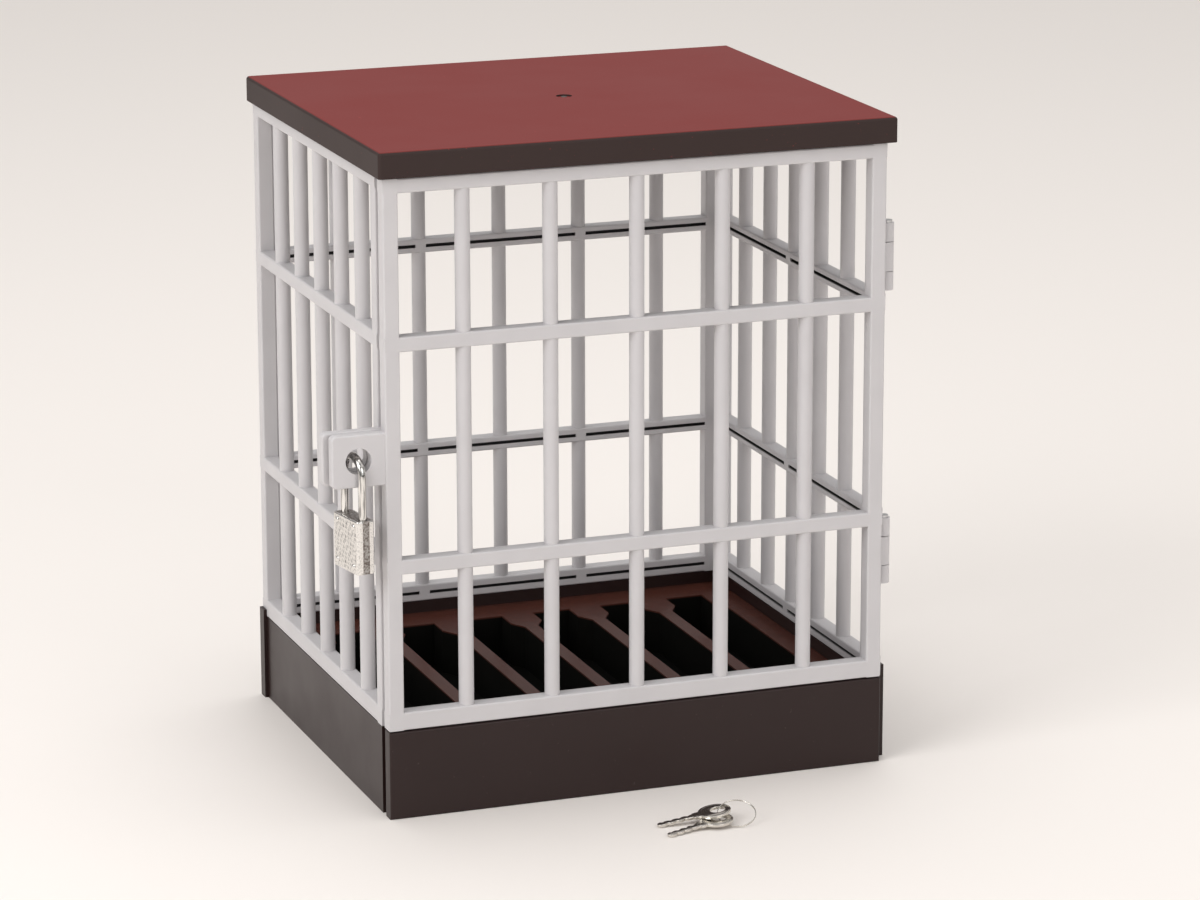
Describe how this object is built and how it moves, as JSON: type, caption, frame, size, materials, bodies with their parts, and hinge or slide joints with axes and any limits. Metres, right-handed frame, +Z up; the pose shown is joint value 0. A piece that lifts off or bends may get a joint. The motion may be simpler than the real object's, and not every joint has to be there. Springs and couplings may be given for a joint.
{
  "type": "lock container",
  "caption": "Barred phone cage with a slotted black base, roof, hinged barred door and a hasp closed by a small padlock, with its keys.",
  "frame": {"origin": "middle of the base's underside, between its two side walls and between the front plate and the back wall", "axes": "+Z up, -Y out of the barred door, +X to the right seen from the front"},
  "size_m": [0.1661, 0.1651, 0.1861],
  "materials": {
    "black_plastic": "satin moulded plastic",
    "rack_plastic": "satin moulded plastic",
    "grey_plastic": "light grey moulded plastic",
    "pin_steel": "drawn wire",
    "chrome_plate": "bright plated",
    "lock_steel": "stamped steel",
    "lock_brass": "turned brass",
    "key_nickel": "nickel plated stampings"
  },
  "bodies": {
    "cage": {"base_shell": "black_plastic", "front_skirt": "black_plastic", "phone_rack": "rack_plastic", "left_panel": "grey_plastic", "right_panel": "grey_plastic", "back_panel": "grey_plastic", "upper_hinge_pin": "pin_steel", "lower_hinge_pin": "pin_steel", "roof_cap": "black_plastic"},
    "door": {"door_panel": "grey_plastic"},
    "shackle": {"padlock_shackle": "chrome_plate"},
    "lock_case": {"padlock_core": "lock_steel", "padlock_left_plate": "chrome_plate", "padlock_right_plate": "chrome_plate", "padlock_rivets": "chrome_plate", "shackle_spring": "lock_steel"},
    "lock_plug": {"padlock_plug": "lock_brass", "plug_wafers": "lock_brass"},
    "lock_bolt": {"padlock_bolt": "lock_steel"},
    "key_set": {"key_back": "key_nickel", "key_front": "key_nickel", "key_ring": "key_nickel"}
  },
  "joints": [
    {"name": "door_hinge", "type": "hinge", "parent": "cage", "child": "door", "pos_m": [0.0739, -0.0571, 0.1], "axis": [0, 0, 1], "range_deg": [0, 110]},
    {"name": "padlock_swing", "type": "hinge", "parent": "cage", "child": "shackle", "pos_m": [-0.0814, -0.05715, 0.1022], "axis": [0, 1, 0], "range_deg": [-4, 60]},
    {"name": "padlock_release", "type": "slide", "parent": "shackle", "child": "lock_case", "axis": [0, 0, -1], "range_m": [0, 0.006], "deforming": ["shackle_spring"]},
    {"name": "plug_turn", "type": "hinge", "parent": "lock_case", "child": "lock_plug", "pos_m": [-0.08185, -0.05715, 0.077], "axis": [0, 0, 1], "range_deg": [0, 90.5]},
    {"name": "bolt_draw", "type": "slide", "parent": "lock_case", "child": "lock_bolt", "axis": [-0.1736, 0.9848, 0], "range_m": [0, 0.00164]},
    {"name": "keys_slide", "type": "slide", "parent": "cage", "child": "key_set", "axis": [0, -1, 0], "range_m": [0, 0.04]}
  ],
  "couplings": [
    {"joint": "plug_turn", "follows": "padlock_release", "rad_per_m": 261.8},
    {"joint": "bolt_draw", "follows": "padlock_release", "ratio": 0.27105}
  ]
}
